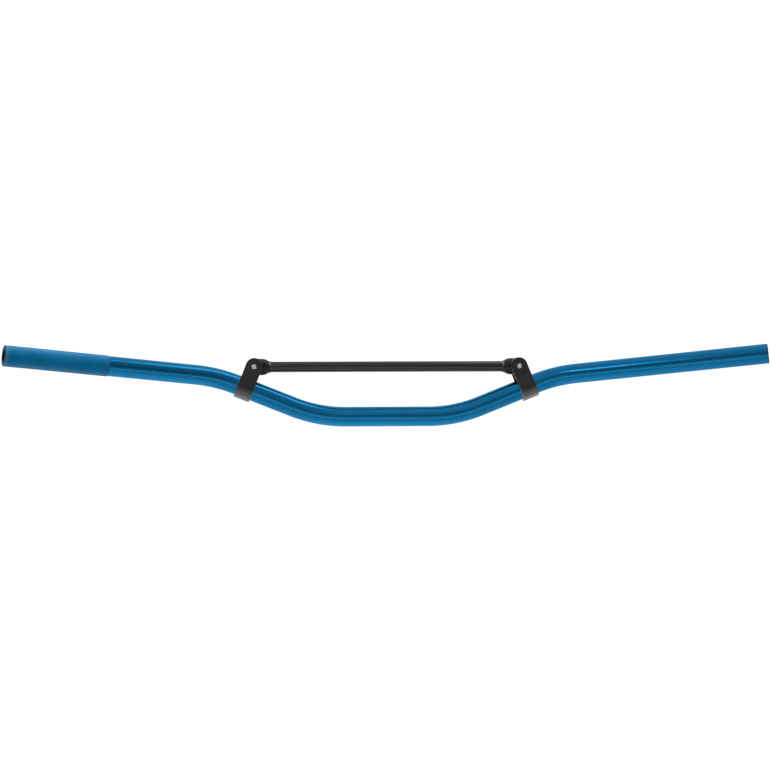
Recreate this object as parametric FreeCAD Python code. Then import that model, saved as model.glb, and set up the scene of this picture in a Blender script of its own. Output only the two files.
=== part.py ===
# Motocross handlebar: one bent aluminium tube, braced by a crossbar that two folded strap
# clamps hold over its legs. All lengths are millimetres and all angles are degrees.
# The origin is the middle of the stem seat, on the tube's axis. +X is the rider's right,
# +Y is forward and +Z is up. The rider's grips sweep back towards -Y.
import FreeCAD, Part
import math
import os

V = FreeCAD.Vector
X_AXIS = V(1, 0, 0)
Y_AXIS = V(0, 1, 0)
Z_AXIS = V(0, 0, 1)
ORIGIN = V(0, 0, 0)

# The bent tube. Its path is straight runs joined by tangent bends, the same on both sides.
tube_diameter = 22.2
tube_wall = 4.0
tube_end_chamfer = 0.8
bore_end_chamfer = 0.6
overall_width = 838.0
seat_length = 92.0
lower_bend_radius = 159.0
leg_angle = 21.8
leg_straight = 66.0
upper_bend_radius = 122.0
grip_sweep_angle = 16.4
grip_rise_angle = 5.5

# The knurled band for the glued grip, at the rider's left end.
knurl_length = 114.0
knurl_height = 0.45
knurl_end_chamfer = 0.4

# The crossbar, and the moulded end at each side of it.
crossbar_diameter = 12.0
crossbar_end_chamfer = 0.8
socket_gap = 0.02
socket_depth = 11.5
socket_end_gap = 0.2
boss_diameter = 18.8
boss_thickness = 16.5
barrel_diameter = 18.6
barrel_reach = 8.5
ear_clearance = 1.0
nose_shoulder_diameter = 17.66
nose_diameter = 14.6
nose_length = 7.2
collar_diameter = 13.8
collar_tip_diameter = 12.9
collar_length = 3.0

# The folded strap that hugs the leg and rises on both sides of the boss.
strap_width = 18.4
strap_thickness = 2.5
strap_gap = 0.05
strap_bend_radius = 5.0
strap_edge_chamfer = 0.4
strap_to_bend = 0.3
pivot_height = 25.2
boss_to_bend = 0.8
ear_tip_margin = 0.75

# The screw through each clamp. The far ear is drilled, and the near ear is tapped.
screw_diameter = 6.0
thread_gap = 0.05
screw_stand_out = 0.3
screw_end_chamfer = 0.6
screw_clearance = 0.2
screw_head_diameter = 10.5
screw_head_height = 3.3
screw_rim_height = 0.8
screw_crown_diameter = 6.4
hex_size = 4.0
hex_depth = 2.0
washer_diameter = 12.0
washer_thickness = 1.6
bush_wall = 1.3
bush_gap = 0.03

# How far a cutting shape runs past what it cuts.
overrun = 1.0

# Sizes that follow from the ones above.
tube_radius = tube_diameter / 2
bore_radius = tube_radius - tube_wall
knurl_radius = tube_radius + knurl_height
crossbar_radius = crossbar_diameter / 2
boss_radius = boss_diameter / 2
half_gap = boss_thickness / 2
shank_radius = screw_diameter / 2 - thread_gap
hole_radius = screw_diameter / 2 + screw_clearance
bush_radius = hole_radius + bush_wall
nose_end = barrel_reach + nose_length
collar_end = nose_end + collar_length
socket_floor = collar_end - socket_depth
ear_outer = half_gap + strap_thickness
ear_radius = strap_width / 2
wrap_radius = tube_radius + strap_gap


def direction(rise, sweep):
    """Unit vector to the rider's right that climbs by one angle and sweeps back by another."""
    rise = math.radians(rise)
    sweep = math.radians(sweep)
    return V(math.cos(rise) * math.cos(sweep), -math.cos(rise) * math.sin(sweep), math.sin(rise))


def unit(vector):
    """The vector's direction, with a length of one."""
    return V(vector).normalize()


def tangent_length(radius, turn):
    """How far before a corner a bend of this radius starts, for a turn in degrees."""
    return radius * math.tan(math.radians(turn) / 2)


def mirrored(point):
    """The same point on the other side of the bar."""
    return V(-point.x, point.y, point.z)


# Corners of the path on the right side, where the straight runs would meet.
leg_way = direction(leg_angle, 0)
grip_way = direction(grip_rise_angle, grip_sweep_angle)
upper_turn = math.degrees(leg_way.getAngle(grip_way))
lower_tangent = tangent_length(lower_bend_radius, leg_angle)
upper_tangent = tangent_length(upper_bend_radius, upper_turn)
lower_corner = X_AXIS * (seat_length / 2 + lower_tangent)
upper_corner = lower_corner + leg_way * (lower_tangent + leg_straight + upper_tangent)
end_face_reach = (tube_radius - tube_end_chamfer) * math.sqrt(1 - grip_way.x ** 2)
grip_length = (overall_width / 2 - end_face_reach - upper_corner.x) / grip_way.x
bar_end = upper_corner + grip_way * grip_length

# The left clamp sits at the outer end of its leg's straight run: its seat is on the leg's
# axis, and its pivot is the middle of the boss, on the screw's axis and the crossbar's.
clamp_distance = lower_tangent + leg_straight - strap_to_bend - ear_radius
clamp_seat = mirrored(lower_corner + leg_way * clamp_distance)
pivot = clamp_seat + V(leg_way.z, 0, leg_way.x) * pivot_height


def other_side(shape):
    """The same shape on the other side of the bar."""
    return shape.mirror(ORIGIN, X_AXIS)


def round_bar(radius, start, end):
    """Cylinder between two points."""
    return Part.makeCylinder(radius, (end - start).Length, start, end - start)


def box_between(low, high):
    """Box from its lowest corner to its highest."""
    size = high - low
    return Part.makeBox(size.x, size.y, size.z, low)


def rims(shape, radius, centre):
    """Circular edges of a shape that have this radius and centre."""
    found = []
    for edge in shape.Edges:
        curve = edge.Curve
        if isinstance(curve, Part.Circle) and abs(curve.Radius - radius) < 1e-4:
            if curve.Center.distanceToPoint(centre) < 1e-3:
                found.append(edge)
    return found


def turned(points, axis):
    """Solid turned about an axis from the corners of a flat outline."""
    outline = Part.makePolygon(points + points[:1])
    return Part.Face(outline).revolve(ORIGIN, axis, 360)


def bend_edge(before, corner, after, radius):
    """Arc that rounds a corner, tangent to both of its runs."""
    back = unit(before - corner)
    ahead = unit(after - corner)
    half = back.getAngle(ahead) / 2
    inward = unit(back + ahead)
    reach = radius / math.tan(half)
    middle = corner + inward * (radius / math.sin(half) - radius)
    return Part.Arc(corner + back * reach, middle, corner + ahead * reach).toShape()


def bent_path(corners, radii):
    """Wire of straight runs through the corners, with a tangent arc at each inner one."""
    edges = []
    start = corners[0]
    for before, corner, after, radius in zip(corners, corners[1:], corners[2:], radii):
        bend = bend_edge(before, corner, after, radius)
        edges.append(Part.LineSegment(start, bend.valueAt(bend.FirstParameter)).toShape())
        edges.append(bend)
        start = bend.valueAt(bend.LastParameter)
    edges.append(Part.LineSegment(start, corners[-1]).toShape())
    return Part.Wire(edges)


def swept_round(path, radius, start, way):
    """Solid of round section along a path."""
    ring = Part.Wire([Part.makeCircle(radius, start, way)])
    return path.makePipeShell([ring], True, False)


def handlebar_tube():
    """Bent hollow tube with a raised band for the knurl and chamfered ends."""
    left_end = mirrored(bar_end)
    inward = unit(mirrored(upper_corner) - left_end)
    corners = [left_end, mirrored(upper_corner), mirrored(lower_corner)]
    corners += [lower_corner, upper_corner, bar_end]
    radii = [upper_bend_radius, lower_bend_radius, lower_bend_radius, upper_bend_radius]
    path = bent_path(corners, radii)
    knurl_end = left_end + inward * knurl_length
    band = round_bar(knurl_radius, left_end, knurl_end)
    band = band.makeChamfer(knurl_end_chamfer, rims(band, knurl_radius, knurl_end))
    outside = swept_round(path, tube_radius, left_end, inward).fuse(band)
    tube = outside.cut(swept_round(path, bore_radius, left_end, inward))
    outer_rims = rims(tube, knurl_radius, left_end) + rims(tube, tube_radius, bar_end)
    tube = tube.makeChamfer(tube_end_chamfer, outer_rims)
    bore_rims = rims(tube, bore_radius, left_end) + rims(tube, bore_radius, bar_end)
    return tube.makeChamfer(bore_end_chamfer, bore_rims)


def crossbar():
    """Straight round bar whose ends stop just short of the sockets' floors."""
    left = pivot + X_AXIS * (socket_floor + socket_end_gap)
    right = mirrored(left)
    bar = round_bar(crossbar_radius, left, right)
    ends = rims(bar, crossbar_radius, left) + rims(bar, crossbar_radius, right)
    return bar.makeChamfer(crossbar_end_chamfer, ends)


def barrel():
    """Turned half of the moulded end: it narrows in two steps to a nose, then to a collar."""
    points = [
        ORIGIN,
        V(0, 0, barrel_diameter / 2),
        V(barrel_reach, 0, barrel_diameter / 2),
        V(barrel_reach + nose_length / 2, 0, nose_shoulder_diameter / 2),
        V(nose_end, 0, nose_diameter / 2),
        V(nose_end, 0, collar_diameter / 2),
        V(collar_end, 0, collar_tip_diameter / 2),
        V(collar_end, 0, 0),
    ]
    return turned(points, X_AXIS)


def crossbar_end():
    """Moulded end: a boss for the screw joined to a barrel with the crossbar's socket.

    The barrel is cut back flush with the boss where the ears stand beside it.
    """
    boss = round_bar(boss_radius, Y_AXIS * -half_gap, Y_AXIS * half_gap)
    ear_reach = ear_radius + ear_clearance
    slot = box_between(V(-ear_reach, half_gap, -boss_diameter), V(ear_reach, boss_diameter, boss_diameter))
    slotted = barrel().cut(slot).cut(slot.mirror(ORIGIN, Y_AXIS))
    socket_mouth = X_AXIS * (collar_end + overrun)
    socket = round_bar(crossbar_radius + socket_gap, X_AXIS * socket_floor, socket_mouth)
    eye = round_bar(bush_radius + bush_gap, Y_AXIS * -ear_outer, Y_AXIS * ear_outer)
    end = slotted.fuse(boss).cut(socket).cut(eye)
    end.translate(pivot)
    return end


def strap_side(offset, lean, corner_height, top):
    """Right half of one face of the strap's section, from the leg's side up to the top.

    The offset is measured outwards from the inner face. The face leaves the wrap at the lean
    angle and turns upright beside the boss. The edges lie in the plane of Y and Z.
    """
    radius = wrap_radius + offset
    half_lean = lean / 2
    bend_radius = strap_bend_radius + strap_thickness - offset
    reach = bend_radius * math.tan(half_lean)
    corner = V(0, half_gap + offset, corner_height + offset * math.tan(half_lean))
    wrap_end = V(0, radius * math.cos(lean), radius * math.sin(lean))
    bend_start = corner + V(0, math.sin(lean), -math.cos(lean)) * reach
    bend_end = corner + Z_AXIS * reach
    bend_centre = bend_end + Y_AXIS * bend_radius
    bend_middle = bend_centre - V(0, math.cos(half_lean), math.sin(half_lean)) * bend_radius
    return [
        Part.LineSegment(wrap_end, bend_start).toShape(),
        Part.Arc(bend_start, bend_middle, bend_end).toShape(),
        Part.LineSegment(bend_end, V(0, half_gap + offset, top)).toShape(),
    ]


def strap_section(top):
    """Closed section of the folded strip, across the leg: a wrap with two leaning ears."""
    corner_height = pivot_height - boss_radius - boss_to_bend
    corner_distance = math.hypot(corner_height, half_gap)
    lean = math.asin(wrap_radius / corner_distance) - math.atan2(half_gap, corner_height)
    edges = []
    for offset in (0, strap_thickness):
        side = strap_side(offset, lean, corner_height, top)
        wrap_end = side[0].valueAt(side[0].FirstParameter)
        other_end = V(0, -wrap_end.y, wrap_end.z)
        lowest = Z_AXIS * -(wrap_radius + offset)
        edges.append(Part.Arc(wrap_end, lowest, other_end).toShape())
        edges += side
        edges += [edge.mirror(ORIGIN, Y_AXIS) for edge in side]
    for side in (-1, 1):
        tip = Part.LineSegment(V(0, side * half_gap, top), V(0, side * ear_outer, top))
        edges.append(tip.toShape())
    return Part.Face(Part.Wire(Part.__sortEdges__(edges)))


def is_narrow(face):
    """Whether a face of the strap is one of its two sides or the round of an ear."""
    surface = face.Surface
    if isinstance(surface, Part.Plane):
        return abs(surface.Axis.x) > 0.99
    return isinstance(surface, Part.Cylinder) and abs(surface.Axis.y) > 0.99


def is_outer(face):
    """Whether a face of the strap is a broad one that looks away from the leg and the boss."""
    first, last, low, high = face.ParameterRange
    middle = ((first + last) / 2, (low + high) / 2)
    return not is_narrow(face) and face.normalAt(*middle).dot(face.valueAt(*middle)) > 0


def outer_edges(strap):
    """Edges where the strap's outer faces meet its sides, which its press rounded over."""
    narrow = [edge for face in strap.Faces if is_narrow(face) for edge in face.Edges]
    outer = [edge for face in strap.Faces if is_outer(face) for edge in face.Edges]
    return [edge for edge in outer if any(edge.isSame(other) for other in narrow)]


def clamp_strap():
    """Flat strip folded round the leg, with rounded ears that lean in to meet the boss."""
    ear_centre = Z_AXIS * (pivot_height + ear_tip_margin)
    top = ear_centre.z + ear_radius + overrun
    strap = strap_section(top).extrude(X_AXIS * strap_width)
    strap.translate(X_AXIS * -ear_radius)
    reach = wrap_radius + strap_thickness + overrun
    outline = box_between(V(-ear_radius, -reach, -reach), V(ear_radius, reach, ear_centre.z))
    ears = round_bar(ear_radius, ear_centre - Y_AXIS * reach, ear_centre + Y_AXIS * reach)
    strap = strap.common(outline.fuse(ears).removeSplitter())
    strap = strap.makeChamfer(strap_edge_chamfer, outer_edges(strap))
    hole = Z_AXIS * pivot_height
    tapped = round_bar(screw_diameter / 2, hole - Y_AXIS * reach, hole)
    drilled = round_bar(hole_radius, hole, hole + Y_AXIS * reach)
    strap = strap.cut(tapped).cut(drilled)
    strap.Placement = FreeCAD.Placement(clamp_seat, FreeCAD.Rotation(Y_AXIS, leg_angle))
    return strap


def screw_head():
    """Button head on the plane of X and Z: it narrows to a crown with a hexagonal socket."""
    rim = V(screw_head_diameter / 2, screw_rim_height, 0)
    crown = V(screw_crown_diameter / 2, screw_head_height, 0)
    points = [ORIGIN, V(rim.x, 0, 0), rim, crown, V(0, crown.y, 0)]
    head = turned(points, Y_AXIS)
    sides = 6
    corner = Z_AXIS * (hex_size / math.sqrt(3))
    turn = FreeCAD.Rotation(Y_AXIS, 360 / sides)
    corners = [corner]
    for _ in range(sides):
        corners.append(turn.multVec(corners[-1]))
    key = Part.Face(Part.makePolygon(corners)).extrude(Y_AXIS * (hex_depth + overrun))
    key.translate(Y_AXIS * (screw_head_height - hex_depth))
    return head.cut(key)


def clamp_screw():
    """Button head screw: its head is at the front, and its end shows in the near ear."""
    under_head = pivot + Y_AXIS * (ear_outer + washer_thickness)
    end = pivot - Y_AXIS * (ear_outer + screw_stand_out)
    shank = round_bar(shank_radius, end, under_head)
    shank = shank.makeChamfer(screw_end_chamfer, rims(shank, shank_radius, end))
    head = screw_head()
    head.translate(under_head)
    return shank.fuse(head)


def clamp_washer():
    """Flat washer between the screw's head and the far ear."""
    inner = pivot + Y_AXIS * ear_outer
    outer = inner + Y_AXIS * washer_thickness
    return round_bar(washer_diameter / 2, inner, outer).cut(round_bar(hole_radius, inner, outer))


def clamp_bush():
    """Steel tube in the boss that takes the ears' clamping force."""
    near = pivot - Y_AXIS * half_gap
    far = pivot + Y_AXIS * half_gap
    return round_bar(bush_radius, near, far).cut(round_bar(hole_radius, near, far))


def main():
    os.makedirs("parts", exist_ok=True)
    shapes = {"handlebar_tube": handlebar_tube(), "crossbar": crossbar()}
    left_side = {
        "crossbar_end": crossbar_end(),
        "clamp_strap": clamp_strap(),
        "clamp_screw": clamp_screw(),
        "clamp_washer": clamp_washer(),
        "clamp_bush": clamp_bush(),
    }
    for name, shape in left_side.items():
        shapes["left_" + name] = shape
        shapes["right_" + name] = other_side(shape)
    for name, shape in shapes.items():
        shape.exportStep("parts/" + name + ".step")
        print(name, len(shape.Solids), shape.isValid(), round(shape.Volume, 1))


main()
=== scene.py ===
"""Motocross handlebar: the pieces and finishes that are seen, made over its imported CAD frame.

Lengths are millimetres until a mesh is made, and Blender's metres after that. The origin is
the middle of the stem seat on the tube's axis. +X is the rider's right, +Y is forward and +Z
is up.
"""
import math
import bmesh
import bpy
import numpy as np
from mathutils import Matrix


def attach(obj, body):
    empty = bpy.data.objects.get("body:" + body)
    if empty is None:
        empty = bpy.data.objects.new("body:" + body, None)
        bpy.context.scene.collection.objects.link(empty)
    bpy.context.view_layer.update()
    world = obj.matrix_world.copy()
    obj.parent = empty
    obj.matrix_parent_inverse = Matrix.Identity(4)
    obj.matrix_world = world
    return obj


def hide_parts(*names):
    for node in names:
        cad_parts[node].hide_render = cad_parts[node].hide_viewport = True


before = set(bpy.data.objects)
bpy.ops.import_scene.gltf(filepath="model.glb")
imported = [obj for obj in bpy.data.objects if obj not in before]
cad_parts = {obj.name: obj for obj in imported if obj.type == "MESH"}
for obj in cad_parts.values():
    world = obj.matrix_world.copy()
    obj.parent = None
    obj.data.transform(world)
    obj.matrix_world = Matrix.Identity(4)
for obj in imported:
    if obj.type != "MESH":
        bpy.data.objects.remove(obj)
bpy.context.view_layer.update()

MM = 0.001
X_AXIS = np.array([1.0, 0.0, 0.0])
Y_AXIS = np.array([0.0, 1.0, 0.0])
Z_AXIS = np.array([0.0, 0.0, 1.0])
MIRROR = np.array([-1.0, 1.0, 1.0])

# The bent tube. Its path is straight runs joined by tangent bends, the same on both sides.
tube_radius = 11.1
bore_radius = 7.1
tube_end_chamfer = 0.8
bore_end_chamfer = 0.6
overall_width = 838.0
seat_length = 92.0
lower_bend_radius = 159.0
leg_angle = math.radians(21.8)
leg_straight = 66.0
upper_bend_radius = 122.0
grip_sweep = math.radians(16.4)
grip_rise = math.radians(5.5)

# The knurled band for the glued grip, at the rider's left end.
knurl_length = 114.0
knurl_height = 0.45
knurl_end_chamfer = 0.4
knurl_first_row = 0.3
knurl_pitch = 1.1
knurl_diamond = 1.7
knurl_depth = 0.2
knurl_wear_reach = 4.0

# The crossbar, and the moulded end at each side of it.
crossbar_radius = 6.0
crossbar_end_round = 0.8
socket_radius = 6.02
socket_depth = 11.5
socket_end_gap = 0.2
boss_radius = 9.4
boss_thickness = 16.5
boss_edge_round = 0.9
barrel_radius = 9.3
barrel_reach = 8.5
nose_radius = 7.3
nose_length = 7.2
collar_radius = 6.9
collar_tip_radius = 6.45
collar_length = 3.0
# How far in from the collar's lip its painted highlight reaches.
collar_highlight_reach = 2.4
ear_clearance = 1.0
eye_radius = 4.53

# How widely the moulding's forms run into each other.
nose_edge_blend = 1.0
collar_lip_blend = 0.35
collar_foot_blend = 0.5
slot_end_blend = 0.6
slot_edge_blend = 0.8
boss_to_barrel_blend = 1.6

# The folded strap that hugs the leg and rises on both sides of the boss.
strap_width = 18.4
strap_thickness = 2.5
strap_gap = 0.05
strap_bend_radius = 5.0
strap_edge_round = 0.45
strap_to_bend = 0.3
pivot_height = 25.2
boss_to_bend = 0.8
ear_tip_margin = 0.75

# The screw through each clamp, with its head and washer at the front.
screw_radius = 2.95
screw_pitch = 1.0
thread_depth = 0.45
thread_reach = 12.0
screw_stand_out = 0.3
screw_end_chamfer = 0.6
tapped_radius = 3.0
drilled_radius = 3.2
head_radius = 5.25
head_height = 3.3
head_rim_height = 0.8
head_crown_radius = 3.2
head_curve = 0.8
hex_half_width = 2.0
hex_depth = 2.0
hex_point_depth = 0.5
washer_radius = 6.0
washer_thickness = 1.6
washer_edge_round = 0.3

# How finely the meshes are divided.
bend_ring_turn = math.radians(1.2)
straight_ring_spacing = 12.0
band_to_plain_ring = 1.0
corner_steps = 5
rod_steps = 96
moulding_rows = 120
moulding_steps = 180
drill_steps = 64
strap_columns = 15
wrap_rows = 40
run_rows = 5
bend_rows = 7
ear_side_steps = 7
ear_top_steps = 37
ear_rings = 7
ear_ring_crowding = 1.3
strap_edge_steps = 3
screw_steps = 60
rows_per_thread = 8
dome_rows = 9
washer_steps = 72

# The search for the moulding's surface: where it starts, how far it goes, and how often the
# span is halved. The drill then goes on past the boss's faces.
heart_reach = 9.5
search_reach = 30.0
halvings = 34
drill_overrun = 1.0

# Edges sharper than these angles stay sharp, in degrees.
plain_crease = 35.0
fine_crease = 30.0
moulding_crease = 50.0
strap_crease = 60.0
strap_rounding_angle = 50.0

# Points nearer than this are one point, in metres, and a slope under this counts as none.
same_place = 1e-7
no_slope = 1e-3

# Places of the tube's finishes among its material slots, after the first.
knurled_slot = 1
turned_end_slot = 2

# Sizes that follow from the ones above.
half_gap = boss_thickness / 2
ear_outer = half_gap + strap_thickness
ear_radius = strap_width / 2
nose_end = barrel_reach + nose_length
collar_end = nose_end + collar_length
socket_floor = collar_end - socket_depth
ear_reach = ear_radius + ear_clearance
wrap_radius = tube_radius + strap_gap
knurl_radius = tube_radius + knurl_height
ear_centre_height = pivot_height + ear_tip_margin


def unit(vector):
    """The vector's direction, with a length of one."""
    return vector / np.linalg.norm(vector)


def column(values):
    """An array of numbers as a column that multiplies rows of coordinates."""
    return np.asarray(values)[..., None]


def other_side(points):
    """The same points on the other side of the bar."""
    return points * MIRROR


def on_side(points, side):
    """Points of the left clamp, as they are or on the right side."""
    return other_side(points) if side > 0 else points


def tangent_length(radius, turn):
    """How far before a corner a bend of this radius starts."""
    return radius * math.tan(turn / 2)


# Directions and corners of the tube's path on the right side.
leg_way = np.array([math.cos(leg_angle), 0.0, math.sin(leg_angle)])
grip_way = np.array([
    math.cos(grip_rise) * math.cos(grip_sweep),
    -math.cos(grip_rise) * math.sin(grip_sweep),
    math.sin(grip_rise),
])
upper_turn = math.acos(leg_way @ grip_way)
lower_tangent = tangent_length(lower_bend_radius, leg_angle)
upper_tangent = tangent_length(upper_bend_radius, upper_turn)
lower_corner = X_AXIS * (seat_length / 2 + lower_tangent)
upper_corner = lower_corner + leg_way * (lower_tangent + leg_straight + upper_tangent)
end_face_reach = (tube_radius - tube_end_chamfer) * math.sqrt(1 - grip_way[0] ** 2)
grip_run = (overall_width / 2 - end_face_reach - upper_corner[0]) / grip_way[0]

# The right half of the path: each run's length, then its bend's radius and axis.
bends_apart = [
    (seat_length / 2, 0.0, Y_AXIS),
    (lower_bend_radius * leg_angle, lower_bend_radius, -Y_AXIS),
    (leg_straight, 0.0, Y_AXIS),
    (upper_bend_radius * upper_turn, upper_bend_radius, unit(np.cross(leg_way, grip_way))),
    (grip_run - upper_tangent, 0.0, Y_AXIS),
]
half_length = sum(run[0] for run in bends_apart)

# The left clamp: its seat is on the leg's axis, and its pivot is on the crossbar's axis.
clamp_distance = lower_tangent + leg_straight - strap_to_bend - ear_radius
clamp_seat = other_side(lower_corner + leg_way * clamp_distance)
pivot = clamp_seat + np.array([leg_way[2], 0.0, leg_way[0]]) * pivot_height


def grid_quads(rows, columns, rows_close=False, columns_close=False):
    """Quads between neighbouring points of a grid, going on round where it closes."""
    row = np.arange(rows if rows_close else rows - 1)
    col = np.arange(columns if columns_close else columns - 1)
    row, col = np.meshgrid(row, col, indexing="ij")
    next_row = (row + 1) % rows
    next_col = (col + 1) % columns
    corners = [row * columns + col, next_row * columns + col]
    corners += [next_row * columns + next_col, row * columns + next_col]
    return np.stack(corners, axis=-1).reshape(-1, 4)


def merge_doubles(mesh):
    """Merges points of a mesh at one place, and turns a closed surface's faces outwards.

    A drilled wall's faces have many corners at the rim, and are split from their middles.
    """
    shell = bmesh.new()
    shell.from_mesh(mesh)
    bmesh.ops.remove_doubles(shell, verts=shell.verts, dist=same_place)
    bmesh.ops.dissolve_degenerate(shell, edges=shell.edges, dist=same_place)
    many_cornered = [face for face in shell.faces if len(face.verts) > 4]
    walls = [face for face in many_cornered if abs(face.normal.y) < no_slope]
    bmesh.ops.poke(shell, faces=walls)
    if not any(edge.is_boundary for edge in shell.edges):
        bmesh.ops.recalc_face_normals(shell, faces=shell.faces)
    shell.to_mesh(mesh)
    shell.free()


def make_piece(name, points, faces, crease=plain_crease):
    """Object from points in millimetres and faces by index, with doubles merged."""
    mesh = bpy.data.meshes.new(name)
    mesh.from_pydata((points.reshape(-1, 3) * MM).tolist(), [], faces)
    merge_doubles(mesh)
    mesh.shade_smooth()
    mesh.set_sharp_from_angle(angle=math.radians(crease))
    piece = bpy.data.objects.new(name, mesh)
    bpy.context.collection.objects.link(piece)
    return piece


def make_turned(name, points, crease=plain_crease, rows_close=False):
    """Piece from a grid of points whose rows are rings round an axis."""
    quads = grid_quads(points.shape[0], points.shape[1], rows_close, True)
    return make_piece(name, points, quads.tolist(), crease)


def rounded(corners, radii):
    """Open outline through flat corners, each rounded by a circular arc of its own radius.

    An arc starts and ends where the circle touches the corner's two sides.
    """
    outline = []
    last = len(corners) - 1
    for index, (corner, radius) in enumerate(zip(corners, radii)):
        corner = np.asarray(corner, dtype=float)
        if radius == 0 or index in (0, last):
            outline.append(corner[None])
            continue
        back = unit(np.asarray(corners[index - 1]) - corner)
        ahead = unit(np.asarray(corners[index + 1]) - corner)
        half = math.acos(np.clip(back @ ahead, -1, 1)) / 2
        centre = corner + unit(back + ahead) * radius / math.sin(half)
        start = corner + back * radius / math.tan(half) - centre
        end = corner + ahead * radius / math.tan(half) - centre
        share = column(np.linspace(0, 1, corner_steps))
        arc = start * np.sin((1 - share) * (math.pi - 2 * half))
        arc = (arc + end * np.sin(share * (math.pi - 2 * half))) / math.sin(math.pi - 2 * half)
        outline.append(centre + arc)
    return np.concatenate(outline)


def turned(outline, around, start, way, first_side):
    """Grid of points made by turning an outline of lengths and radii about an axis.

    A point is the start, plus its length along the axis, plus its radius in the direction
    that the turn angle gives. A radius may also be an array with one value for each angle.
    """
    lengths, radii = outline
    angle = np.linspace(0, 2 * math.pi, around, endpoint=False)
    second_side = np.cross(way, first_side)
    spoke = column(np.cos(angle)) * first_side + column(np.sin(angle)) * second_side
    radii = np.asarray(radii).reshape(len(lengths), -1, 1)
    return start + column(column(lengths)) * way + radii * spoke[None]


def along_bar(lengths):
    """Points of the bar's centre line at lengths from its middle, and the section's axes.

    The right half is straight runs joined by circular arcs. On an arc the heading turns about
    the bend's axis as the length grows, and the section's axes turn with it. The left half
    is the mirror image of the right one.
    """
    reach = np.abs(lengths)
    point = np.zeros((len(lengths), 3))
    up = np.zeros((len(lengths), 3))
    way = np.zeros((len(lengths), 3))
    start = np.zeros(3)
    heading = X_AXIS
    lift = Z_AXIS
    done = 0.0
    for length, radius, axis in bends_apart:
        here = reach >= done
        far = np.append(reach[here] - done, length)
        if radius == 0:
            places = start + column(far) * heading
            headings = np.broadcast_to(heading, (len(far), 3))
            lifts = np.broadcast_to(lift, (len(far), 3))
        else:
            turn = column(far / radius)
            inward = np.cross(axis, heading)
            places = start + radius * (np.sin(turn) * heading + (1 - np.cos(turn)) * inward)
            headings = np.cos(turn) * heading + np.sin(turn) * inward
            along_axis = (lift @ axis) * axis
            across = lift - along_axis
            lifts = along_axis + np.cos(turn) * across + np.sin(turn) * np.cross(axis, across)
        point[here] = places[:-1]
        way[here] = headings[:-1]
        up[here] = lifts[:-1]
        start = places[-1]
        heading = headings[-1]
        lift = lifts[-1]
        done += length
    side = np.cross(up, way)
    mirror = np.where(column(lengths < 0), MIRROR, 1.0)
    return point * mirror, side * mirror, up * mirror


def path_stations():
    """Lengths along the bar where a ring is wanted: close together in bends, apart in runs."""
    stations = []
    done = 0.0
    for length, radius, _ in bends_apart:
        spacing = radius * bend_ring_turn if radius else straight_ring_spacing
        count = max(2, math.ceil(length / spacing))
        stations.append(done + np.linspace(0, length, count, endpoint=False))
        done += length
    right = np.concatenate(stations)
    return np.concatenate([-right[:0:-1], right])


def handlebar_tube():
    """Hollow bent tube: a closed outline of lengths and radii carried along the bar's path.

    A point is the path's point at its length, plus its radius in the direction that its
    angle gives in the section there. In the band, the radius rises from each groove crossing
    to the points between them, like the squares of a chessboard, so the faces are the sides
    of small pyramids whose grooves run both ways round the tube.
    """
    around = 2 * round(2 * math.pi * knurl_radius / knurl_pitch)
    band_start = -half_length + tube_end_chamfer + knurl_first_row
    band_end = -half_length + knurl_length - knurl_end_chamfer
    band_rows = 2 * round((band_end - band_start) / (knurl_pitch * knurl_diamond)) + 1
    inside = path_stations()
    end_rings = [
        ([-half_length], knurl_radius - tube_end_chamfer),
        ([-half_length + tube_end_chamfer], knurl_radius),
    ]
    outline = end_rings + [
        (np.linspace(band_start, band_end, band_rows), knurl_radius),
        ([-half_length + knurl_length], tube_radius),
        (inside[inside > -half_length + knurl_length + band_to_plain_ring], tube_radius),
        ([half_length - tube_end_chamfer], tube_radius),
        ([half_length], tube_radius - tube_end_chamfer),
        ([half_length], bore_radius + bore_end_chamfer),
        ([half_length - bore_end_chamfer], bore_radius),
        (inside[::-1], bore_radius),
        ([-half_length + bore_end_chamfer], bore_radius),
        ([-half_length], bore_radius + bore_end_chamfer),
    ]
    lengths = np.concatenate([places for places, _ in outline])
    radii = np.concatenate([np.full(len(places), radius) for places, radius in outline])
    band_row = np.arange(len(lengths)) - len(end_rings)
    step = np.arange(around)
    in_band = (band_row >= 0) & (band_row < band_rows)
    is_groove = column(in_band) & ((column(band_row) + step) % 2 == 0)
    radius = column(radii) - np.where(is_groove, knurl_depth, 0.0)
    angle = 2 * math.pi * step / around
    point, side, up = along_bar(lengths)
    spoke = column(np.cos(angle)) * side[:, None] + column(np.sin(angle)) * up[:, None]
    points = point[:, None] + column(radius) * spoke
    faces = tube_faces(band_row, band_rows, step)
    piece = make_piece("bent_tube", points, faces, fine_crease)
    finish_tube_faces(piece.data)
    return piece


def tube_faces(band_row, band_rows, step):
    """Faces over the tube's closed grid, by index: quads, each cut in two in the band.

    The cut joins the quad's two groove crossings, so each point between them is a pyramid's
    tip. A row's number is counted from the band's first one.
    """
    quads = grid_quads(len(band_row), len(step), True, True)
    quad_row = np.repeat(band_row, len(step))
    quad_step = np.tile(step, len(band_row))
    cut = (quad_row >= 0) & (quad_row < band_rows - 1)
    even = (quad_row + quad_step) % 2 == 0
    one_way = quads[cut & even]
    other_way = quads[cut & ~even]
    triangles = np.concatenate([
        one_way[:, [0, 1, 2]], one_way[:, [0, 2, 3]],
        other_way[:, [0, 1, 3]], other_way[:, [1, 2, 3]],
    ])
    return triangles.tolist() + quads[~cut].tolist()


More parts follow.
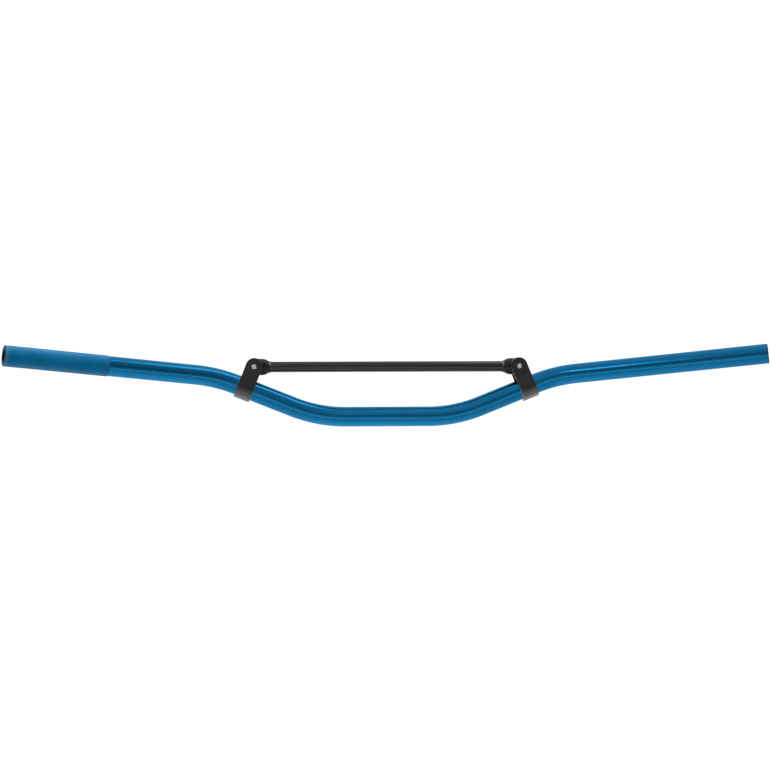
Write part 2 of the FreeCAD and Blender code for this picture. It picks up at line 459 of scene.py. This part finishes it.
def finish_tube_faces(mesh):
    """Gives the band's triangles flat shading, and the band and turned ends their finishes."""
    count = len(mesh.polygons)
    centres = np.zeros(count * 3)
    mesh.polygons.foreach_get("center", centres)
    centres = centres.reshape(-1, 3) / MM
    corners = np.zeros(count, dtype=np.int32)
    mesh.polygons.foreach_get("loop_total", corners)
    band = (corners == 3) & (centres[:, 0] < 0)
    slots = np.zeros(count, dtype=np.int32)
    slots[band] = knurled_slot
    ends, _, _ = along_bar(np.array([-half_length, half_length]))
    for end, outward in zip(ends, (other_side(grip_way), grip_way)):
        beyond = (centres - end) @ outward
        slots[(beyond > -tube_end_chamfer) & ~band] = turned_end_slot
    mesh.polygons.foreach_set("material_index", slots)
    mesh.polygons.foreach_set("use_smooth", ~band)


def crossbar_rod():
    """Round bar turned about X, with rounded ends that stop short of the sockets' floors."""
    end = -pivot[0] - socket_floor - socket_end_gap
    corners = [(-end, 0), (-end, crossbar_radius), (end, crossbar_radius), (end, 0)]
    outline = rounded(corners, [0, crossbar_end_round, crossbar_end_round, 0])
    middle = np.array([0.0, 0.0, pivot[2]])
    return make_turned("crossbar_rod", turned(outline.T, rod_steps, middle, X_AXIS, Z_AXIS))


def soft_min(first, second, blend):
    """The smaller of two fields, with the step between them rounded over the blend."""
    overlap = np.maximum(blend - np.abs(first - second), 0) / blend
    return np.minimum(first, second) - overlap ** 2 * blend / 4


def soft_max(first, second, blend):
    """The larger of two fields, with the edge between them rounded over the blend."""
    return -soft_min(-first, -second, blend)


def boss_field(x, y, z):
    """Distance to the boss: a cylinder about Y, with rounded edges."""
    beyond_round = np.hypot(x, z) - boss_radius + boss_edge_round
    beyond_face = np.abs(y) - half_gap + boss_edge_round
    outside = np.hypot(np.maximum(beyond_round, 0), np.maximum(beyond_face, 0))
    return outside + np.minimum(np.maximum(beyond_round, beyond_face), 0) - boss_edge_round


def barrel_field(x, y, z):
    """Distance to the barrel: round about X, drawn in by an arc to the nose, then a collar.

    It is cut back level with the boss's faces where the ears stand beside it.
    """
    from_axis = np.hypot(y, z)
    drop = barrel_radius - nose_radius
    arc_radius = (nose_length ** 2 + drop ** 2) / (2 * drop)
    along = np.clip(x - barrel_reach, 0, nose_length)
    body = from_axis - (barrel_radius - arc_radius + np.sqrt(arc_radius ** 2 - along ** 2))
    body = soft_max(body, x - nose_end, nose_edge_blend)
    taper = (x - nose_end) / collar_length
    collar = from_axis - collar_radius - (collar_tip_radius - collar_radius) * taper
    collar = soft_max(collar, x - collar_end, collar_lip_blend)
    slot = soft_max(half_gap - np.abs(y), x - ear_reach, slot_end_blend)
    whole = soft_min(body, collar, collar_foot_blend)
    return np.maximum(soft_max(whole, -slot, slot_edge_blend), -x)


def moulded_end_field(x, y, z):
    """Field of the whole moulding, below zero inside: its boss and barrel run together."""
    return soft_min(boss_field(x, y, z), barrel_field(x, y, z), boss_to_barrel_blend)


def moulded_end(name, side):
    """Moulded end: a boss for the screw that runs into a barrel with the crossbar's socket.

    A point lies in the direction that two angles give from a place inside the barrel, at the
    distance where the moulding's field is zero. That is found for all points at once, by
    halving the span in which the zero lies. The socket's wall and floor end the grid.
    """
    mouth = collar_end - heart_reach
    mouth_angle = math.atan2(socket_radius, mouth)
    tilt = np.linspace(mouth_angle, math.pi, moulding_rows)[:, None]
    angle = np.linspace(0, 2 * math.pi, moulding_steps, endpoint=False)[None]
    way = np.stack(np.broadcast_arrays(
        np.cos(tilt),
        np.sin(tilt) * np.cos(angle),
        np.sin(tilt) * np.sin(angle),
    ))
    heart = np.array([heart_reach, 0.0, 0.0])[:, None, None]
    near = np.zeros((moulding_rows, moulding_steps))
    far = np.full((moulding_rows, moulding_steps), search_reach)
    for _ in range(halvings):
        middle = (near + far) / 2
        is_in = moulded_end_field(*(heart + middle * way)) < 0
        near = np.where(is_in, middle, near)
        far = np.where(is_in, far, middle)
    near[0] = math.hypot(mouth, socket_radius)
    body = np.moveaxis(heart + near * way, 0, -1)
    floor_and_wall = ([socket_floor, socket_floor], [0.0, socket_radius])
    socket = turned(floor_and_wall, moulding_steps, np.zeros(3), X_AXIS, Y_AXIS)
    points = on_side(np.concatenate([socket, body]) + pivot, side)
    piece = make_turned(name, points, moulding_crease)
    drill(piece, on_side(pivot, side), eye_radius, half_gap + drill_overrun)
    return piece


def drill(piece, place, radius, reach):
    """Cuts a round hole along Y through a piece and keeps the result as its mesh."""
    outline = ([-reach, -reach, reach, reach], [0.0, radius, radius, 0.0])
    bit = make_turned("drill_bit", turned(outline, drill_steps, place, Y_AXIS, Z_AXIS))
    cut = piece.modifiers.new("hole", "BOOLEAN")
    cut.operation = "DIFFERENCE"
    cut.solver = "EXACT"
    cut.object = bit
    solved = piece.evaluated_get(bpy.context.evaluated_depsgraph_get())
    drilled = bpy.data.meshes.new_from_object(solved)
    merge_doubles(drilled)
    piece.modifiers.clear()
    whole = piece.data
    piece.data = drilled
    bpy.data.meshes.remove(whole)
    bpy.data.objects.remove(bit)


def strap_line():
    """Inner line of the folded strip across the leg, from one ear's foot to the other's.

    It is an arc round the tube, a run that leaves the arc at the lean angle, and a bend that
    brings it upright beside the boss. The other half is its mirror image.
    """
    corner_height = pivot_height - boss_radius - boss_to_bend
    corner_distance = math.hypot(corner_height, half_gap)
    lean = math.asin(wrap_radius / corner_distance) - math.atan2(half_gap, corner_height)
    bend_radius = strap_bend_radius + strap_thickness
    reach = bend_radius * math.tan(lean / 2)
    turn = np.linspace(-math.pi / 2, lean, wrap_rows)
    wrap = wrap_radius * np.stack([np.cos(turn), np.sin(turn)], axis=-1)
    corner = np.array([half_gap, corner_height])
    bend_start = corner + np.array([math.sin(lean), -math.cos(lean)]) * reach
    share = column(np.linspace(0, 1, run_rows)[1:-1])
    run = wrap[-1] * (1 - share) + bend_start * share
    turn = np.linspace(lean, 0, bend_rows)
    centre = np.array([half_gap + bend_radius, corner_height + reach])
    bend = centre - bend_radius * np.stack([np.cos(turn), np.sin(turn)], axis=-1)
    half = np.concatenate([wrap[1:], run, bend])
    return np.concatenate([half[::-1] * MIRROR[:2], wrap[:1], half])


def ear_sheet(across, foot_height, hole_radius):
    """Flat ear as rings between its hole and its outline, in the plane of X and Z.

    The outline is the foot's line, two upright sides and a half circle. Each ring is a
    share of the way from the hole to the outline. The angle grows from X towards Z.
    """
    foot = np.stack([across, np.full(len(across), foot_height)], axis=-1)
    climb = np.linspace(foot_height, ear_centre_height, ear_side_steps)[1:]
    right = np.stack([np.full(len(climb), ear_radius), climb], axis=-1)
    turn = np.linspace(0, math.pi, ear_top_steps)[1:]
    top = np.stack([np.cos(turn), np.sin(turn)], axis=-1) * ear_radius
    top = top + np.array([0.0, ear_centre_height])
    left = np.stack([np.full(len(climb) - 1, -ear_radius), climb[-2::-1]], axis=-1)
    outline = np.concatenate([foot, right, top, left])
    hole_centre = np.array([0.0, pivot_height])
    spoke = outline - hole_centre
    hole = hole_centre + hole_radius * spoke / column(np.linalg.norm(spoke, axis=1))
    share = column(column(np.linspace(0, 1, ear_rings))) ** ear_ring_crowding
    return hole[None] * (1 - share) + outline[None] * share


def strap_sheets():
    """Points and quads of the strap's inner side: a folded strip, and an ear at each end.

    A point of the strip is a point of the strap's line, moved along the leg. X is along the
    leg, Y is forward and Z is away from the leg.
    """
    line = strap_line()
    across = np.linspace(-ear_radius, ear_radius, strap_columns)
    fold = np.zeros((len(line), len(across), 3))
    fold[..., 0] = across
    fold[..., 1:] = line[:, None]
    sheets = [fold.reshape(-1, 3)]
    faces = [grid_quads(len(line), len(across))]
    count = len(sheets[0])
    for ear_side, hole_radius in ((-1, tapped_radius), (1, drilled_radius)):
        ear = ear_sheet(across, line[-1, 1], hole_radius)
        quads = grid_quads(ear.shape[0], ear.shape[1], False, True)
        faces.append((quads if ear_side < 0 else quads[:, ::-1]) + count)
        sheets.append(np.insert(ear, 1, ear_side * half_gap, axis=-1).reshape(-1, 3))
        count += len(sheets[-1])
    return np.concatenate(sheets), np.concatenate(faces)


def clamp_strap(name, side):
    """Folded strap: its inner sheets set on the leg, thickened outwards, with round edges."""
    points, quads = strap_sheets()
    upright = np.array([-leg_way[2], 0.0, leg_way[0]])
    points = points[:, :1] * leg_way + points[:, 1:2] * Y_AXIS + points[:, 2:] * upright
    points = points + other_side(clamp_seat)
    if side < 0:
        points = other_side(points)
        quads = quads[:, ::-1]
    piece = make_piece(name, points, quads.tolist(), strap_crease)
    thicken = piece.modifiers.new("thickness", "SOLIDIFY")
    thicken.thickness = strap_thickness * MM
    thicken.offset = 1.0
    thicken.use_even_offset = True
    thicken.material_offset_rim = 1
    edge = piece.modifiers.new("edge", "BEVEL")
    edge.width = strap_edge_round * MM
    edge.segments = strap_edge_steps
    edge.limit_method = "ANGLE"
    edge.angle_limit = math.radians(strap_rounding_angle)
    edge.harden_normals = True
    return piece


def hexagon(angle, half_width):
    """Distance from a hexagon's middle to its side at an angle.

    It is half the width across flats divided by the cosine of the angle from the nearest
    flat's middle.
    """
    from_flat = (angle + math.pi / 6) % (math.pi / 3) - math.pi / 6
    return half_width / np.cos(from_flat)


def clamp_screw(name, side):
    """Button head screw turned about Y, from its end's middle round to its socket's floor.

    The shank's radius is the crest less the thread's depth times a wave along the axis that
    moves on by one pitch in each turn. The head's dome falls partly as a parabola and partly
    as a cone, and the socket's rows follow a hexagon.
    """
    angle = np.linspace(0, 2 * math.pi, screw_steps, endpoint=False)
    length = 2 * ear_outer + screw_stand_out + washer_thickness
    thread = np.arange(0, thread_reach, screw_pitch / rows_per_thread)
    wave = np.abs(((column(thread) / screw_pitch + angle / (2 * math.pi)) % 1) * 2 - 1)
    fade = np.clip((thread_reach - column(thread)) / screw_pitch, 0, 1)
    tip = screw_radius - screw_end_chamfer + column(thread)
    shank = np.minimum(screw_radius - thread_depth * wave * fade, tip)
    share = np.linspace(0, 1, dome_rows)
    fall = head_curve * share ** 2 + (1 - head_curve) * share
    dome_radii = head_radius - (head_radius - head_crown_radius) * fall
    dome_lengths = head_rim_height + (head_height - head_rim_height) * share
    lengths = np.concatenate([
        [0.0],
        thread,
        [thread_reach, length, length],
        length + dome_lengths,
        length + head_height - np.array([0.0, hex_depth, hex_depth + hex_point_depth]),
    ])
    ones = np.ones(screw_steps)
    socket = hexagon(angle, hex_half_width)
    radii = np.concatenate([
        [0.0 * ones],
        shank,
        [screw_radius * ones, screw_radius * ones, head_radius * ones],
        column(dome_radii) * ones,
        [socket, socket, 0.0 * ones],
    ])
    start = on_side(pivot - Y_AXIS * (ear_outer + screw_stand_out), side)
    points = turned((lengths, radii), screw_steps, start, Y_AXIS, Z_AXIS)
    return make_turned(name, points, fine_crease)


def clamp_washer(name, side):
    """Flat washer turned about Y from a rounded rectangle."""
    corners = [
        (0, drilled_radius),
        (0, washer_radius),
        (washer_thickness, washer_radius),
        (washer_thickness, drilled_radius),
    ]
    outline = rounded(corners, [0, washer_edge_round, washer_edge_round, 0])
    start = on_side(pivot + Y_AXIS * ear_outer, side)
    points = turned(outline.T, washer_steps, start, Y_AXIS, Z_AXIS)
    return make_turned(name, points, rows_close=True)


# The finishes' tones, low and high: red, green and blue as light adds up, or one grey.
blue_dye = ((0.0003, 0.095, 0.213), (0.0006, 0.114, 0.252))
knurl_dye = ((0.0006, 0.082, 0.182), (0.0012, 0.108, 0.238))
turned_end_dye = ((0.003, 0.03, 0.06), (0.006, 0.05, 0.09))
crossbar_black = (0.003, 0.007)
moulding_black = (0.003, 0.006)
coat_black = (0.001, 0.004)
rubbed_steel = (0.06, 0.3)
zinc_plate = ((0.42, 0.43, 0.44), (0.58, 0.58, 0.57))
plain_steel = ((0.34, 0.34, 0.35), (0.5, 0.5, 0.51))
floor_grey = (0.72, 0.74)

# Tones that are the same all over, with their opacity: worn places on the knurl, a painted
# highlight for the collar's lip, a floor rim painted paler in place of light, and paler
# surroundings.
worn_knurl = (0.06, 0.17, 0.28, 1.0)
# Grey of the painted highlight on the collar's lip.
painted_lip_highlight = (0.17, 0.17, 0.17, 1.0)
painted_light_rim = (0.92, 0.92, 0.92, 1.0)
room_behind = (1.3, 1.3, 1.3, 1.0)
plain_white = (1.0, 1.0, 1.0, 1.0)

# How much of a tone shows: the knurl's worn tone at most at its end, and the lip's painted
# highlight at least on its underside.
knurl_wear = 0.7
least_lip_highlight = 0.05


def new_finish(name):
    """Empty material with its nodes, and its surface shader."""
    finish = bpy.data.materials.new(name)
    finish.use_nodes = True
    tree = finish.node_tree
    return finish, tree, tree.nodes["Principled BSDF"]


def set_sockets(tree, node, sockets):
    """Gives each socket of a node a link from another node's output, or a level of its own."""
    for socket, source in sockets.items():
        if isinstance(source, bpy.types.NodeSocket):
            tree.links.new(source, node.inputs[socket])
        else:
            node.inputs[socket].default_value = source


def add_node(tree, kind, sockets=None, **settings):
    """New node with its settings, and with links or levels at its sockets."""
    node = tree.nodes.new(kind)
    for key, value in settings.items():
        setattr(node, key, value)
    set_sockets(tree, node, sockets or {})
    return node


def coordinates(tree, kind):
    """Coordinates of one kind: Object on a piece, or Generated in the world."""
    return add_node(tree, "ShaderNodeTexCoord").outputs[kind]


def noise(tree, scale, detail, finer=(1.0, 1.0, 1.0)):
    """Noise on Object coordinates at a scale per metre, made finer along each axis."""
    mapping = add_node(tree, "ShaderNodeMapping", {
        "Vector": coordinates(tree, "Object"),
        "Scale": finer,
    })
    pattern = add_node(tree, "ShaderNodeTexNoise", {
        "Vector": mapping.outputs["Vector"],
        "Scale": scale,
        "Detail": detail,
    })
    return pattern.outputs["Fac"]


def ramp(tree, value, stops):
    """Colour ramp through places and greys or colours."""
    node = add_node(tree, "ShaderNodeValToRGB", {"Fac": value})
    elements = node.color_ramp.elements
    while len(elements) < len(stops):
        elements.new(0.5)
    for element, (where, colour) in zip(elements, stops):
        element.position = where
        if not isinstance(colour, tuple):
            colour = (colour, colour, colour)
        element.color = (*colour, 1.0)
    return node.outputs["Color"]


def tones(tree, pattern, low, high, ends=(0.3, 0.7)):
    """Ramp from a low tone to a high one between two levels of a pattern."""
    return ramp(tree, pattern, list(zip(ends, (low, high))))


def share_between(tree, value, start, end, low=0.0, high=1.0):
    """Number that goes evenly from low to high as a value goes from its start to its end."""
    node = add_node(tree, "ShaderNodeMapRange", {
        "Value": value,
        "From Min": start,
        "From Max": end,
        "To Min": low,
        "To Max": high,
    })
    return node.outputs["Result"]


def blended(tree, share, first, second, way="MIX"):
    """Colour that goes from the first to the second as the share goes from none to whole."""
    sockets = {0: share, 6: first, 7: second}
    return add_node(tree, "ShaderNodeMix", sockets, data_type="RGBA", blend_type=way).outputs[2]


def axis_parts(tree, place):
    """The X, Y and Z of a place, as outputs by name."""
    return add_node(tree, "ShaderNodeSeparateXYZ", {"Vector": place}).outputs


def bump(tree, height, strength, distance):
    """Surface direction with small relief from a height pattern."""
    node = add_node(tree, "ShaderNodeBump", {
        "Height": height,
        "Strength": strength,
        "Distance": distance * MM,
    })
    return node.outputs["Normal"]


def blue_anodised():
    """Polished and dyed alloy: a deep blue, with faint drawn streaks along the bar."""
    finish, tree, shader = new_finish("blue_anodised")
    streaks = noise(tree, scale=8.0, detail=4.0, finer=(6.0, 120.0, 120.0))
    cloud = noise(tree, scale=60.0, detail=3.0)
    set_sockets(tree, shader, {
        "Base Color": tones(tree, streaks, *blue_dye),
        "Roughness": tones(tree, cloud, 0.15, 0.21),
        "Normal": bump(tree, streaks, strength=0.05, distance=0.05),
        "Metallic": 1.0,
        "Specular Tint": (0.5, 0.75, 0.95, 1.0),
        "Coat Weight": 0.15,
        "Coat Roughness": 0.05,
        "Sheen Weight": 0.02,
        "Sheen Roughness": 0.4,
    })
    return finish


def blue_knurled():
    """The same dye on the rolled knurl, which scatters the light and reads as matt.

    It is paler where handling has worn the crests, in the last millimetres at the tube's end.
    """
    finish, tree, shader = new_finish("blue_knurled")
    cloud = noise(tree, scale=90.0, detail=4.0)
    outward = other_side(grip_way)
    end_reach = other_side(upper_corner + grip_way * grip_run) @ outward
    reach = add_node(tree, "ShaderNodeVectorMath", {
        0: coordinates(tree, "Object"),
        1: outward,
    }, operation="DOT_PRODUCT")
    fade_start = (end_reach - knurl_wear_reach) * MM
    fade_end = (end_reach - tube_end_chamfer) * MM
    wear = share_between(tree, reach.outputs["Value"], fade_start, fade_end, 0.0, knurl_wear)
    set_sockets(tree, shader, {
        "Base Color": blended(tree, wear, tones(tree, cloud, *knurl_dye), worn_knurl),
        "Roughness": tones(tree, cloud, 0.40, 0.48),
        "Metallic": 0.6,
        "Specular IOR Level": 0.05,
        "Sheen Weight": 0.9,
        "Sheen Roughness": 0.3,
    })
    return finish


def dyed_end():
    """The tube's turned end faces and chamfers, dyed with the rest, with the cutter's rings."""
    finish, tree, shader = new_finish("dyed_end")
    rings = noise(tree, scale=90.0, detail=2.0, finer=(40.0, 1.0, 1.0))
    set_sockets(tree, shader, {
        "Base Color": tones(tree, rings, *turned_end_dye),
        "Roughness": tones(tree, rings, 0.55, 0.65),
        "Metallic": 1.0,
    })
    return finish


def black_anodised():
    """Satin black dye on the crossbar, with faint drawn streaks."""
    finish, tree, shader = new_finish("black_anodised")
    streaks = noise(tree, scale=8.0, detail=4.0, finer=(4.0, 150.0, 150.0))
    set_sockets(tree, shader, {
        "Base Color": tones(tree, streaks, *crossbar_black),
        "Roughness": tones(tree, streaks, 0.12, 0.18),
        "Normal": bump(tree, streaks, strength=0.06, distance=0.04),
        "Specular IOR Level": 0.36,
    })
    return finish


def black_moulding():
    """Black moulding with a fine grain and uneven gloss.

    It has a painted grey highlight at the collar's lip, strongest on top, where the overhead
    light falls on it.
    """
    finish, tree, shader = new_finish("black_moulding")
    grain = noise(tree, scale=1400.0, detail=3.0)
    cloud = noise(tree, scale=130.0, detail=3.0)
    place = axis_parts(tree, coordinates(tree, "Object"))
    reach = add_node(tree, "ShaderNodeMath", {0: place["X"]}, operation="ABSOLUTE")
    lip = -pivot[0] - collar_end
    fade_start = (lip + collar_highlight_reach) * MM
    fade_end = (lip + collar_highlight_reach / 2) * MM
    near_lip = share_between(tree, reach.outputs["Value"], fade_start, fade_end)
    axis_height = pivot[2] * MM
    upper_height = (pivot[2] + collar_radius / 2) * MM
    upper = share_between(tree, place["Z"], axis_height, upper_height, least_lip_highlight)
    # Painted highlight: the lip's grey is strongest on its upper half, as light from above
    # would make it.
    painted_highlight_share = add_node(tree, "ShaderNodeMath", {0: near_lip, 1: upper}, operation="MULTIPLY")
    black = tones(tree, cloud, *moulding_black)
    set_sockets(tree, shader, {
        "Base Color": blended(tree, painted_highlight_share.outputs["Value"], black, painted_lip_highlight),
        "Roughness": tones(tree, cloud, 0.34, 0.46),
        "Normal": bump(tree, grain, strength=0.25, distance=0.05),
        "Specular IOR Level": 0.22,
    })
    return finish


def black_coated():
    """Black coat on the folded strap, with the soft ripple of powder coat."""
    finish, tree, shader = new_finish("black_coated")
    ripple = noise(tree, scale=700.0, detail=2.0)
    cloud = noise(tree, scale=120.0, detail=4.0)
    set_sockets(tree, shader, {
        "Base Color": tones(tree, cloud, *coat_black),
        "Roughness": tones(tree, cloud, 0.28, 0.38),
        "Normal": bump(tree, ripple, strength=0.2, distance=0.06),
        "Specular IOR Level": 0.33,
        "Sheen Weight": 0.1,
        "Sheen Roughness": 0.45,
    })
    return finish


def worn_edge():
    """The strap's cut edges, where the coat has rubbed thin and the grey steel shows."""
    finish, tree, shader = new_finish("worn_edge")
    patches = noise(tree, scale=260.0, detail=4.0)
    set_sockets(tree, shader, {
        "Base Color": tones(tree, patches, *rubbed_steel, ends=(0.35, 0.65)),
        "Roughness": tones(tree, patches, 0.45, 0.32, ends=(0.35, 0.6)),
        "Metallic": 1.0,
    })
    return finish


def bright_zinc():
    """Zinc plate on the screws and washers, clouded a little."""
    finish, tree, shader = new_finish("bright_zinc")
    cloud = noise(tree, scale=400.0, detail=4.0)
    set_sockets(tree, shader, {
        "Base Color": tones(tree, cloud, *zinc_plate),
        "Roughness": tones(tree, cloud, 0.22, 0.34),
        "Metallic": 1.0,
    })
    return finish


def turned_steel():
    """Plain turned steel on the bushes, with fine rings along the axis."""
    finish, tree, shader = new_finish("turned_steel")
    rings = noise(tree, scale=60.0, detail=2.0, finer=(1.0, 60.0, 1.0))
    set_sockets(tree, shader, {
        "Base Color": tones(tree, rings, *plain_steel),
        "Roughness": tones(tree, rings, 0.3, 0.4),
        "Metallic": 1.0,
    })
    return finish


def give(piece, *finishes):
    """Puts finishes in an object's material slots, in order."""
    slots = piece.data.materials
    while len(slots) < len(finishes):
        slots.append(None)
    for index, finish in enumerate(finishes):
        slots[index] = finish


def place_piece(piece, node, slot, *finishes):
    """Gives a new piece its finishes, makes it ride on the root, and hides the CAD part that it
    replaces.
    """
    give(piece, *finishes)
    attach(piece, "root")
    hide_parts(node)


moulding = black_moulding()
coated = black_coated()
rubbed = worn_edge()
zinc = bright_zinc()
steel = turned_steel()

tube = handlebar_tube()
place_piece(tube, "handlebar_tube", "bar_tube", blue_anodised(), blue_knurled(), dyed_end())
place_piece(crossbar_rod(), "crossbar", "crossbar", black_anodised())

straps = []
for side_name, side in (("left", -1), ("right", 1)):
    end = moulded_end(side_name + "_moulded_end", side)
    place_piece(end, side_name + "_crossbar_end", "moulded_end", moulding)
    strap = clamp_strap(side_name + "_folded_strap", side)
    place_piece(strap, side_name + "_clamp_strap", "strap", coated, rubbed)
    straps.append(strap)
    screw = clamp_screw(side_name + "_button_screw", side)
    place_piece(screw, side_name + "_clamp_screw", "fastener", zinc)
    washer = clamp_washer(side_name + "_flat_washer", side)
    place_piece(washer, side_name + "_clamp_washer", "fastener", zinc)
    give(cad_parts[side_name + "_clamp_bush"], steel)


# The studio, in metres: a pale floor well below the bar, painted paler towards its rim in place
# of the light that falls off there.
floor_depth = 0.62
floor_half_width = 2.4
floor_front = -1.75
floor_back = 3.5
floor_middle_reach = 1.0
floor_rim_reach = 1.8

# The room's brightness on the camera's side, by the height of a direction from the lowest
# that counts (0) to straight up (1), and the share of it that is left from the rider's left
# (0) to the right (1). Behind the bar it is even. The one turns into the other over a depth.
room_lowest = -0.35
room_by_height = [
    (0.0, 1.2), (0.13, 1.15), (0.26, 0.66), (0.36, 0.48), (0.46, 0.7),
    (0.56, 0.88), (0.68, 1.03), (0.80, 1.15), (0.9, 1.25), (1.0, 1.25),
]
room_by_width = [(0.34, 0.74), (0.46, 1.0), (0.525, 1.0), (0.675, 0.6)]
room_turn_depth = 0.35
backdrop_strength = 1.1

# The lights: each one's place and aim in metres, its width and height, its radiance, and
# whether it shows in reflections.
bar_middle = (0.0, 0.0, 0.0)
studio_lights = {
    "overhead_softbox": ((0.62, -0.28, 1.42), bar_middle, 0.5, 0.7, 2.8, True),
    "front_softbox": ((-0.64, -1.5, 1.15), bar_middle, 0.4, 0.5, 4.0, True),
    "front_strip": ((0.0, -1.35, -0.58), bar_middle, 3.0, 0.12, 1.9, True),
    "top_wash": ((-0.45, 0.05, 1.1), (-0.3, 0.0, 0.0), 0.5, 0.4, 82.0, False),
    "under_glow": ((0.0, -0.1, -0.5), (0.0, -0.09, 0.5), 1.2, 1.2, 2.0, True),
    "pool_wash": ((0.0, 0.2, -0.08), (0.0, 0.19, -0.6), 0.42, 0.9, 5.0, False),
    "back_wash": ((0.0, 2.3, 1.4), (0.0, 2.5, -0.6), 4.0, 2.4, 1.2, False),
}

# The camera: its place in metres, its film and lens in millimetres, and its turns in degrees,
# each made about the axes that the ones before it left. The last lifts it from looking down.
camera_place = (-0.17484, -2.26005, 0.02077)
film_width = 36.0
focal_length = 94.89
camera_turns = [(-4.373, "Z"), (0.365, "X"), (0.255, "Y"), (90.0, "X")]


def studio_floor():
    """Plain pale floor, flat, painted a little paler towards its rim, which stands in for light
    there.
    """
    corners = [
        (-floor_half_width, floor_front, -floor_depth),
        (floor_half_width, floor_front, -floor_depth),
        (floor_half_width, floor_back, -floor_depth),
        (-floor_half_width, floor_back, -floor_depth),
    ]
    mesh = bpy.data.meshes.new("studio_floor")
    mesh.from_pydata(corners, [], [(0, 1, 2, 3)])
    floor = bpy.data.objects.new("studio_floor", mesh)
    bpy.context.collection.objects.link(floor)
    finish, tree, shader = new_finish("pale_floor")
    cloud = noise(tree, scale=2.0, detail=2.0)
    reach = add_node(tree, "ShaderNodeVectorMath", {
        0: coordinates(tree, "Object"),
    }, operation="LENGTH")
    # Painted light: the floor's colour grows paler away from its middle, so the far floor reads
    # as evenly white.
    near_rim = share_between(tree, reach.outputs["Value"], floor_middle_reach, floor_rim_reach)
    set_sockets(tree, shader, {
        "Base Color": blended(tree, near_rim, tones(tree, cloud, *floor_grey), painted_light_rim),
        "Roughness": 0.9,
        "Specular IOR Level": 0.1,
    })
    give(floor, finish)


def soft_room():
    """World: pale all round, dimmer on the camera's side at the horizon and at both sides.

    What the camera sees directly is plain white.
    """
    world = bpy.data.worlds.new("soft_room")
    bpy.context.scene.world = world
    world.use_nodes = True
    tree = world.node_tree
    tree.nodes.clear()
    way = axis_parts(tree, coordinates(tree, "Generated"))
    front = ramp(tree, share_between(tree, way["Z"], room_lowest, 1.0), room_by_height)
    across = ramp(tree, share_between(tree, way["X"], -1.0, 1.0), room_by_width)
    shaded = blended(tree, 1.0, front, across, "MULTIPLY")
    depth = share_between(tree, way["Y"], -room_turn_depth, room_turn_depth)
    room = add_node(tree, "ShaderNodeBackground", {
        "Color": blended(tree, depth, shaded, room_behind),
    })
    backdrop = add_node(tree, "ShaderNodeBackground", {
        "Color": plain_white,
        "Strength": backdrop_strength,
    })
    choice = add_node(tree, "ShaderNodeMixShader", {
        0: add_node(tree, "ShaderNodeLightPath").outputs["Is Camera Ray"],
        1: room.outputs[0],
        2: backdrop.outputs[0],
    })
    add_node(tree, "ShaderNodeOutputWorld", {"Surface": choice.outputs[0]})


def aimed_light(name, place, aim, width, height, radiance, glossy):
    """Area light at a place in metres, facing the place that it is aimed at.

    Its power is its radiance times its area, times pi. A light that isn't glossy brightens
    matt surfaces and shows no reflection of itself.
    """
    lamp = bpy.data.lights.new(name, "AREA")
    lamp.shape = "RECTANGLE"
    lamp.size = width
    lamp.size_y = height
    lamp.energy = radiance * width * height * math.pi
    light = bpy.data.objects.new(name, lamp)
    back = unit(np.subtract(place, aim))
    right = unit(np.cross(Z_AXIS, back))
    turn = Matrix(np.stack([right, np.cross(back, right), back], axis=-1).tolist())
    light.matrix_world = Matrix.Translation(place) @ turn.to_4x4()
    light.visible_camera = False
    light.visible_glossy = glossy
    bpy.context.collection.objects.link(light)
    return light


def light_only(light, pieces):
    """Lets a light reach some pieces and leave the others and the floor as they are."""
    lit = bpy.data.collections.new(light.name + "_lights")
    for piece in pieces:
        lit.objects.link(piece)
    light.light_linking.receiver_collection = lit


def photo_camera():
    """Camera at the photograph's viewing angle: nearly level, a little to the rider's left."""
    lens = bpy.data.cameras.new("photo_camera")
    lens.sensor_width = film_width
    lens.lens = focal_length
    camera = bpy.data.objects.new("photo_camera", lens)
    turn = Matrix.Identity(4)
    for degrees, axis in camera_turns:
        turn = turn @ Matrix.Rotation(math.radians(degrees), 4, axis)
    camera.matrix_world = Matrix.Translation(camera_place) @ turn
    bpy.context.collection.objects.link(camera)
    bpy.context.scene.camera = camera


studio_floor()
soft_room()
lights = {name: aimed_light(name, *settings) for name, settings in studio_lights.items()}
light_only(lights["top_wash"], [tube])
light_only(lights["under_glow"], straps)
photo_camera()
bpy.context.scene.view_settings.view_transform = "Standard"
